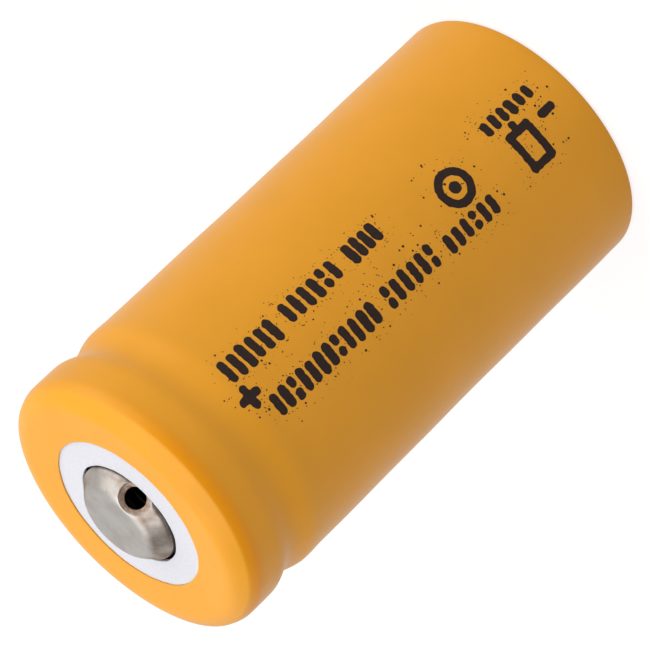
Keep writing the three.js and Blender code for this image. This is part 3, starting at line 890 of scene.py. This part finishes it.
# ---------------------------------------------------------------- wound roll
# Every layer follows one spiral, and its runs are counted in steps from the spiral's start.
STEPS_A_TURN = 20
STEP = 2 * math.pi / STEPS_A_TURN
FINE = 6  # mesh steps for each such step
CORE_R = 1.55
LAYER_GAP = 0.015
SEPARATOR, COATING, FOIL, TAB, TAPE = 0.07, 0.18, 0.06, 0.12, 0.04
LAYERS = [
    ("separator_inner", SEPARATOR),
    ("anode_coating_inner", COATING),
    ("anode_foil", FOIL),
    ("anode_coating_outer", COATING),
    ("separator_outer", SEPARATOR),
    ("cathode_coating_inner", COATING),
    ("cathode_foil", FOIL),
    ("cathode_coating_outer", COATING),
]
INSET = {}
PITCH = 0.0
for layer_name, layer_thickness in LAYERS:
    INSET[layer_name] = PITCH
    PITCH += layer_thickness + LAYER_GAP

POSITIVE_BAND = INSET["cathode_coating_inner"] + COATING - TAB
NEGATIVE_BAND = INSET["anode_coating_outer"]
POSITIVE_RUN, NEGATIVE_RUN = (18, 21), (90, 92)


def layer_r(inset, step):
    return CORE_R + inset + PITCH * step / STEPS_A_TURN


def wound(inset, thickness, run, low, high):
    """Vertices and faces of a band wound on the spiral between two steps."""
    step = np.linspace(run[0], run[1], (run[1] - run[0]) * FINE + 1)
    angle = step * STEP
    corners = [(0, low), (thickness, low), (thickness, high), (0, high)]
    rows = []
    for extra, z in corners:
        r = layer_r(inset + extra, step)
        rows.append(np.column_stack([r * np.cos(angle), r * np.sin(angle), np.full(len(step), z)]))
    return loft(rows)


def loft(rows):
    """A closed tube through four rows of points, with an end on each side."""
    count = len(rows[0])
    verts = np.vstack(rows)
    faces = [[0, count, 2 * count, 3 * count], [count - 1, 4 * count - 1, 3 * count - 1, 2 * count - 1]]
    for side in range(4):
        here, there = side * count, (side + 1) % 4 * count
        faces += [[here + i, here + i + 1, there + i + 1, there + i] for i in range(count - 1)]
    return verts, faces


def strip(centre_line, width, azimuth):
    """A flat strip that follows a line of (radius, z) points and is turned to an azimuth."""
    sides = offset(centre_line, TAB / 2), offset(centre_line, -TAB / 2)
    rows = []
    for which, y in ((0, -width / 2), (0, width / 2), (1, width / 2), (1, -width / 2)):
        side = sides[which]
        x, across = side[:, 0], np.full(len(side), y)
        c, s = math.cos(azimuth), math.sin(azimuth)
        rows.append(np.column_stack([x * c - across * s, x * s + across * c, side[:, 1]]))
    return loft(rows)


def bend(*points):
    """A cubic curve through four control points."""
    a, b, c, d = (np.array(p, float) for p in points)
    t = np.linspace(0, 1, 17)[:, None]
    return (1 - t) ** 3 * a + 3 * t * (1 - t) ** 2 * b + 3 * t * t * (1 - t) * c + t**3 * d


def as_one(first, second):
    """Two sets of vertices and faces as one."""
    start = len(first[0])
    return np.vstack([first[0], second[0]]), first[1] + [[i + start for i in face] for face in second[1]]


def roll():
    """Separators, both electrodes and the tape that holds the roll closed."""
    separator, anode, cathode = (1.1, 27.0), (1.8, 26.3), (2.4, 25.8)
    anode_coat, cathode_coat = (1.9, 26.2), (2.5, 25.7)
    bands = [
        ("separator_inner", SEPARATOR, (0, 97), separator, SEPARATOR_WHITE, "separator_film"),
        ("separator_outer", SEPARATOR, (0, 97), separator, SEPARATOR_WHITE, "separator_film"),
        ("anode_foil", FOIL, (10, 93), anode, COPPER, "copper_foil"),
        ("anode_coating_inner", COATING, (10, 93), anode_coat, GRAPHITE, "graphite"),
        ("anode_coating_outer", COATING, (10, 89), anode_coat, GRAPHITE, "graphite"),
        ("cathode_foil", FOIL, (17, 76), cathode, ALUMINIUM, "aluminium_sheet"),
        ("cathode_coating_inner", COATING, (22, 76), cathode_coat, CATHODE, "cathode_powder"),
        ("cathode_coating_outer", COATING, (17, 76), cathode_coat, CATHODE, "cathode_powder"),
    ]
    for node, thickness, run, (low, high), material, slot in bands:
        new_piece(node + "_wound", *wound(INSET[node], thickness, run, low, high), material, node, slot)
    over_cathode, over_anode = INSET["cathode_coating_inner"], NEGATIVE_BAND + COATING - TAPE
    tapes = [
        ("winding_tape", over_cathode, (77, 98), (4, 24), BLUE_TAPE, "blue_tape"),
        ("positive_tab_tape", over_cathode, (17, 21), (2.5, 26.9), AMBER_TAPE, "amber_tape"),
        ("negative_tab_tape", over_anode, (89, 93), (1.4, 26.6), AMBER_TAPE, "amber_tape"),
    ]
    for node, inset, run, (low, high), material, slot in tapes:
        new_piece(node + "_wound", *wound(inset, TAPE, run, low, high), material, node, slot)


def positive_tab():
    """From its band in the roll, out at the top, and in to the interrupt plate's underside."""
    x, plate = layer_r(POSITIVE_BAND, POSITIVE_RUN[0]), CID_PLATE_Z - GAP - TAB / 2
    centre_line = joined(
        [(x, 27.0 + 2 * GAP)],
        bend((x, 28.0), (x, 29.2), (2.7, plate), (1.3, plate)),
        [(-1.2, plate)],
    )
    lead = strip(centre_line, 3.0, sum(POSITIVE_RUN) / 2 * STEP)
    band = wound(POSITIVE_BAND, TAB, POSITIVE_RUN, 3.0, 27.4)
    new_piece("positive_lead", *as_one(band, lead), ALUMINIUM, "positive_tab", "aluminium_sheet")


def negative_tab():
    """From its band in the roll, out at the bottom, and in over the can's floor."""
    x, floor_z = layer_r(NEGATIVE_BAND, NEGATIVE_RUN[0]), CAN_WALL + GAP + TAB / 2
    rim_z = CAN_STEP_Z + floor_z
    centre_line = joined(
        [(x, 1.1 - 2 * GAP)],
        bend((x, 0.85), (x, rim_z), (x - 0.15, rim_z), (x - 0.5, rim_z)),
        [(CONTACT_R - 0.2, rim_z), (CONTACT_R - 0.2 - CAN_STEP_Z, floor_z), (-1.5, floor_z)],
    )
    lead = strip(centre_line, 4.0, sum(NEGATIVE_RUN) / 2 * STEP)
    band = wound(NEGATIVE_BAND, TAB, NEGATIVE_RUN, 0.95, 25.6)
    new_piece("negative_lead", *as_one(band, lead), NICKEL_STRIP, "negative_tab", "nickel_strip")


OUTSIDE = (sleeve, marks, washer, cap, can)
UNDER_CAP = (ptc_ring, vent_disc, cid_insulator_ring, gasket)
IN_CAN = (roll, positive_tab, negative_tab)
for build in OUTSIDE + UNDER_CAP + IN_CAN:
    build()

# These flat parts keep their CAD shape.
CAD_FINISH = {
    "cid_plate": ALUMINIUM,
    "upper_insulator_disc": PALE_PLASTIC,
    "lower_insulator_disc": PALE_PLASTIC,
}
for node, finish in CAD_FINISH.items():
    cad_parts[node].data.materials.clear()
    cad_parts[node].data.materials.append(finish)


# ---------------------------------------------------------------- stage
CAMERA_LENS = 227.9  # on a 36 mm wide sensor
CAMERA_DISTANCE = 223.7
CAMERA_ELEVATION = math.radians(27.2)
CAMERA_ROLL = math.radians(-134.0)
CAMERA_AIM = (-0.05, 0.0, 17.06)
# Name, azimuth and elevation in degrees, distance and size in metres, radiance.
LIGHTS = [
    ("key", 74, 22, 0.7, 0.8, 1.95),
    ("overhead", -20, 78, 0.7, 0.9, 2.3),
]
ROOM = 0.12  # radiance of the dim part of the room
BEHIND = 0.82  # and of its part behind the cell
FLOOR_GLOW = 0.45  # radiance of the floor as the cell is lit by it
FLOOR_WHITE = 0.8  # and as it is seen
FLOOR_ALBEDO = 0.2


def make_camera():
    data = bpy.data.cameras.new("camera")
    data.lens, data.sensor_width = CAMERA_LENS, 36
    data.clip_start, data.clip_end = 0.01, 10
    camera = bpy.data.objects.new("camera", data)
    bpy.context.scene.collection.objects.link(camera)
    back = Vector((0, -math.cos(CAMERA_ELEVATION), math.sin(CAMERA_ELEVATION)))
    look = (-back).to_track_quat("-Z", "Y").to_matrix().to_4x4()
    place = Matrix.Translation((Vector(CAMERA_AIM) + back * CAMERA_DISTANCE) * MM)
    camera.matrix_world = place @ look @ Matrix.Rotation(CAMERA_ROLL, 4, "Z")
    bpy.context.scene.camera = camera


def area_light(name, azimuth, elevation, distance, size, radiance):
    """A square soft light aimed at the cell's middle. Azimuth 0 is in front, at -Y, and 90 is at +X."""
    data = bpy.data.lights.new(name, "AREA")
    data.size, data.energy = size, radiance * math.pi * size**2
    light = bpy.data.objects.new(name, data)
    bpy.context.scene.collection.objects.link(light)
    a, e = math.radians(azimuth), math.radians(elevation)
    away = Vector((math.sin(a) * math.cos(e), -math.cos(a) * math.cos(e), math.sin(e)))
    turn = away.to_track_quat("Z", "Y").to_matrix().to_4x4()
    light.matrix_world = Matrix.Translation(Vector(CAMERA_AIM) * MM + away * distance) @ turn


def make_world():
    """A dim room that is brighter behind the cell. Seen directly it is a white backdrop."""
    world = bpy.data.worlds.new("studio")
    world.use_nodes = True
    tree = world.node_tree
    coords = tree.nodes.new("ShaderNodeTexCoord")
    split = tree.nodes.new("ShaderNodeSeparateXYZ")
    tree.links.new(coords.outputs["Generated"], split.inputs["Vector"])
    light = ramp(tree, split.outputs["Y"], ROOM, BEHIND, 0.1, 0.7)
    seen = tree.nodes.new("ShaderNodeLightPath").outputs["Is Camera Ray"]
    tree.links.new(mixed(tree, seen, light, (1, 1, 1)), tree.nodes["Background"].inputs["Color"])
    bpy.context.scene.world = world


def make_floor():
    bpy.ops.mesh.primitive_plane_add(size=6)
    floor = bpy.context.object
    floor.name = "floor"
    material, tree, shader = shader_of("floor_white", roughness=0.9)
    shader.inputs["Base Color"].default_value = (FLOOR_ALBEDO, FLOOR_ALBEDO, FLOOR_ALBEDO, 1)
    seen = tree.nodes.new("ShaderNodeLightPath").outputs["Is Camera Ray"]
    glow = mixed(tree, seen, (FLOOR_GLOW,) * 3, (FLOOR_WHITE,) * 3)
    tree.links.new(glow, shader.inputs["Emission Color"])
    shader.inputs["Emission Strength"].default_value = 1.0
    floor.data.materials.append(material)


def make_stage():
    make_floor()
    make_world()
    for light in LIGHTS:
        area_light(*light)
    bpy.context.scene.view_settings.view_transform = "Standard"


make_camera()
make_stage()
